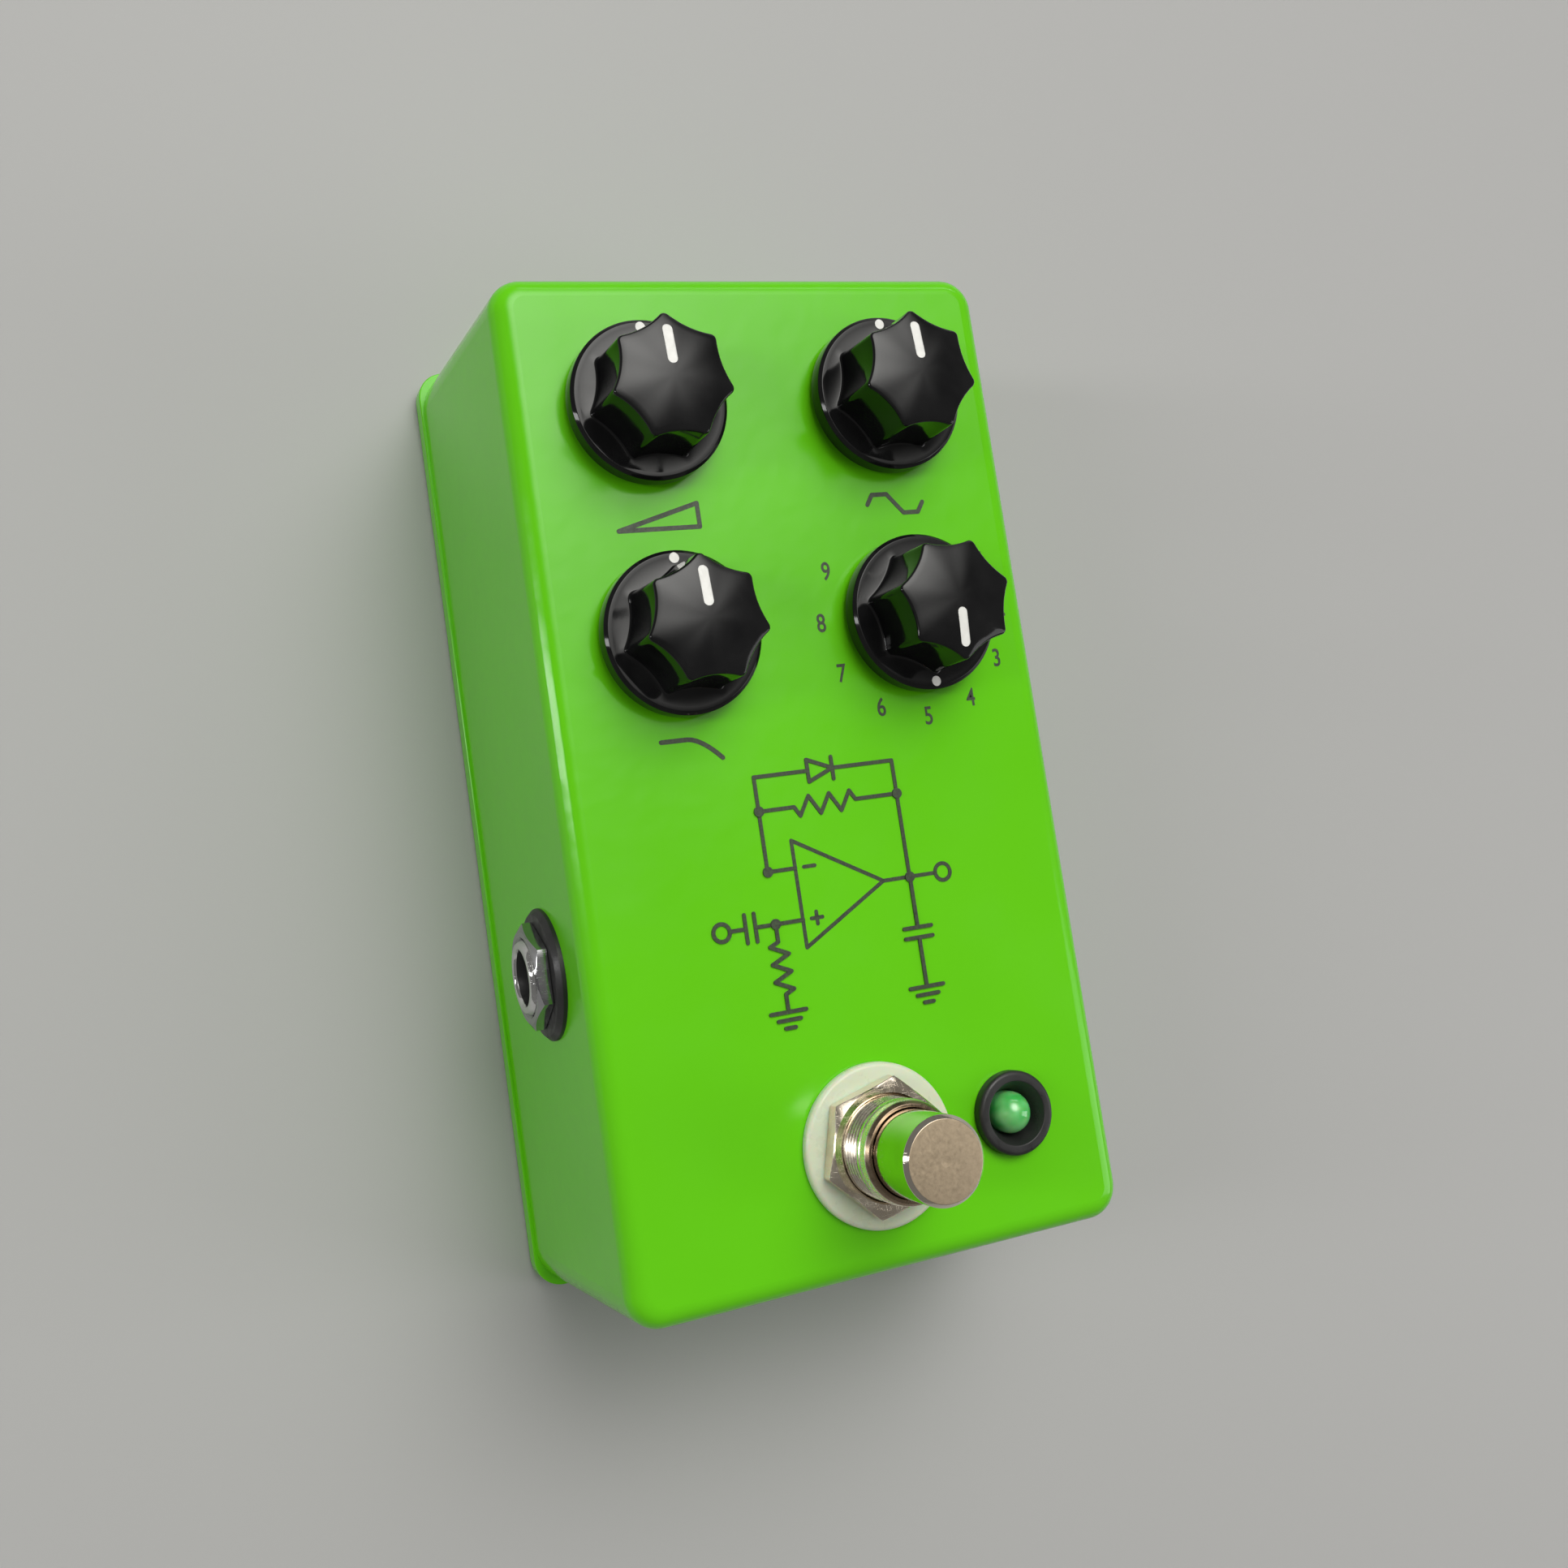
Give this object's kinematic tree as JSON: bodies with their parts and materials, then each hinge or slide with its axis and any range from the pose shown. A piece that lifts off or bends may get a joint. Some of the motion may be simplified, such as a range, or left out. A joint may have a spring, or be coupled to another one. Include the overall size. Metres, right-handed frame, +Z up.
{
  "type": "guitar effects pedal",
  "caption": "Compact die-cast effects pedal with pointer knobs, a foot switch, a status lamp, and sockets in the side and far walls.",
  "frame": {"origin": "centre of the flat underside, on the surface the pedal stands on", "axes": "+X to the player's right, +Y away from the player towards the power socket, +Z up through the knobs"},
  "size_m": [0.0702, 0.1228, 0.0555],
  "materials": {
    "green_paint": "die-cast aluminium under bright green gloss paint with a light orange-peel texture",
    "green_paint_lid": "die-cast aluminium under the same bright green gloss paint",
    "zinc_steel": "zinc-plated countersunk screws",
    "black_gloss": "polished black moulded plastic",
    "white_fill": "white paint fill, level with the knob",
    "shaft_metal": "turned aluminium",
    "inner_plastic": "moulded black plastic",
    "pot_shell": "blue moulded housing",
    "nickel": "nickel plate, slightly warm and worn on the thread crests",
    "button_nickel": "nickel plate, polished side and satin top with fine scratches",
    "switch_blue": "blue moulded housing",
    "nylon": "translucent natural nylon",
    "spring_steel": "spring steel wire",
    "tinned": "tinned copper",
    "board_green": "solder mask over glass laminate",
    "black_satin": "satin black moulded plastic",
    "lamp_green": "green tinted clear lens",
    "chrome_bright": "bright chrome plate",
    "chip_black": "epoxy package",
    "film_cap": "red dipped box",
    "can_black": "sleeved can",
    "resistor_blue": "blue lacquer",
    "diode_glass": "small glass body",
    "wire_sleeve": "insulated stranded wire"
  },
  "bodies": {
    "chassis": {"base_plate": "green_paint_lid", "base_screws": "zinc_steel", "board_chips": "chip_black", "board_diodes": "diode_glass", "board_electrolytics": "can_black", "board_film_caps": "film_cap", "board_resistors": "resistor_blue", "dc_jack_body": "black_satin", "dc_jack_contacts": "tinned", "dc_jack_nut": "black_satin", "drive_pot": "pot_shell", "enclosure": "green_paint", "footswitch_board": "board_green", "footswitch_bushing": "nickel", "footswitch_housing": "switch_blue", "footswitch_inner_nut": "nickel", "footswitch_lock_washer": "nickel", "footswitch_lugs": "tinned", "footswitch_nut": "nickel", "footswitch_spring": "spring_steel", "footswitch_washer": "nylon", "hookup_wires": "wire_sleeve", "input_jack_body": "black_satin", "input_jack_bushing": "chrome_bright", "input_jack_contacts": "tinned", "input_jack_nut": "chrome_bright", "input_jack_washer": "black_satin", "led_bezel": "black_satin", "led_lamp": "lamp_green", "led_leads": "tinned", "main_board": "board_green", "mode_switch": "inner_plastic", "output_jack_body": "black_satin", "output_jack_bushing": "chrome_bright", "output_jack_contacts": "tinned", "output_jack_nut": "chrome_bright", "output_jack_washer": "black_satin", "pot_bushings": "nickel", "pot_nuts": "nickel", "pot_washers": "nickel", "tone_pot": "pot_shell", "volume_pot": "pot_shell"},
    "volume_control": {"volume_knob": "black_gloss", "volume_pointer": "white_fill", "volume_shaft": "shaft_metal", "volume_rotor": "inner_plastic"},
    "drive_control": {"drive_knob": "black_gloss", "drive_pointer": "white_fill", "drive_shaft": "shaft_metal", "drive_rotor": "inner_plastic"},
    "tone_control": {"tone_knob": "black_gloss", "tone_pointer": "white_fill", "tone_shaft": "shaft_metal", "tone_rotor": "inner_plastic"},
    "mode_control": {"mode_knob": "black_gloss", "mode_pointer": "white_fill", "mode_shaft": "shaft_metal", "mode_rotor": "inner_plastic"},
    "footswitch_plunger": {"footswitch_button": "button_nickel"}
  },
  "joints": [
    {"name": "volume_turn", "type": "hinge", "parent": "chassis", "child": "volume_control", "pos_m": [-0.0155, 0.0432, 0.045], "axis": [0, 0, 1], "range_deg": [-150, 150]},
    {"name": "drive_turn", "type": "hinge", "parent": "chassis", "child": "drive_control", "pos_m": [0.0155, 0.0432, 0.045], "axis": [0, 0, 1], "range_deg": [-150, 150]},
    {"name": "tone_turn", "type": "hinge", "parent": "chassis", "child": "tone_control", "pos_m": [-0.0155, 0.0161, 0.045], "axis": [0, 0, 1], "range_deg": [-150, 150]},
    {"name": "mode_turn", "type": "hinge", "parent": "chassis", "child": "mode_control", "pos_m": [0.0155, 0.0161, 0.045], "axis": [0, 0, 1], "range_deg": [-120, 120]},
    {"name": "footswitch_press", "type": "slide", "parent": "chassis", "child": "footswitch_plunger", "axis": [0, 0, -1], "range_m": [0, 0.003], "stiffness_N_per_m": 2500, "springref_m": -0.003, "deforming": ["footswitch_spring"]}
  ]
}
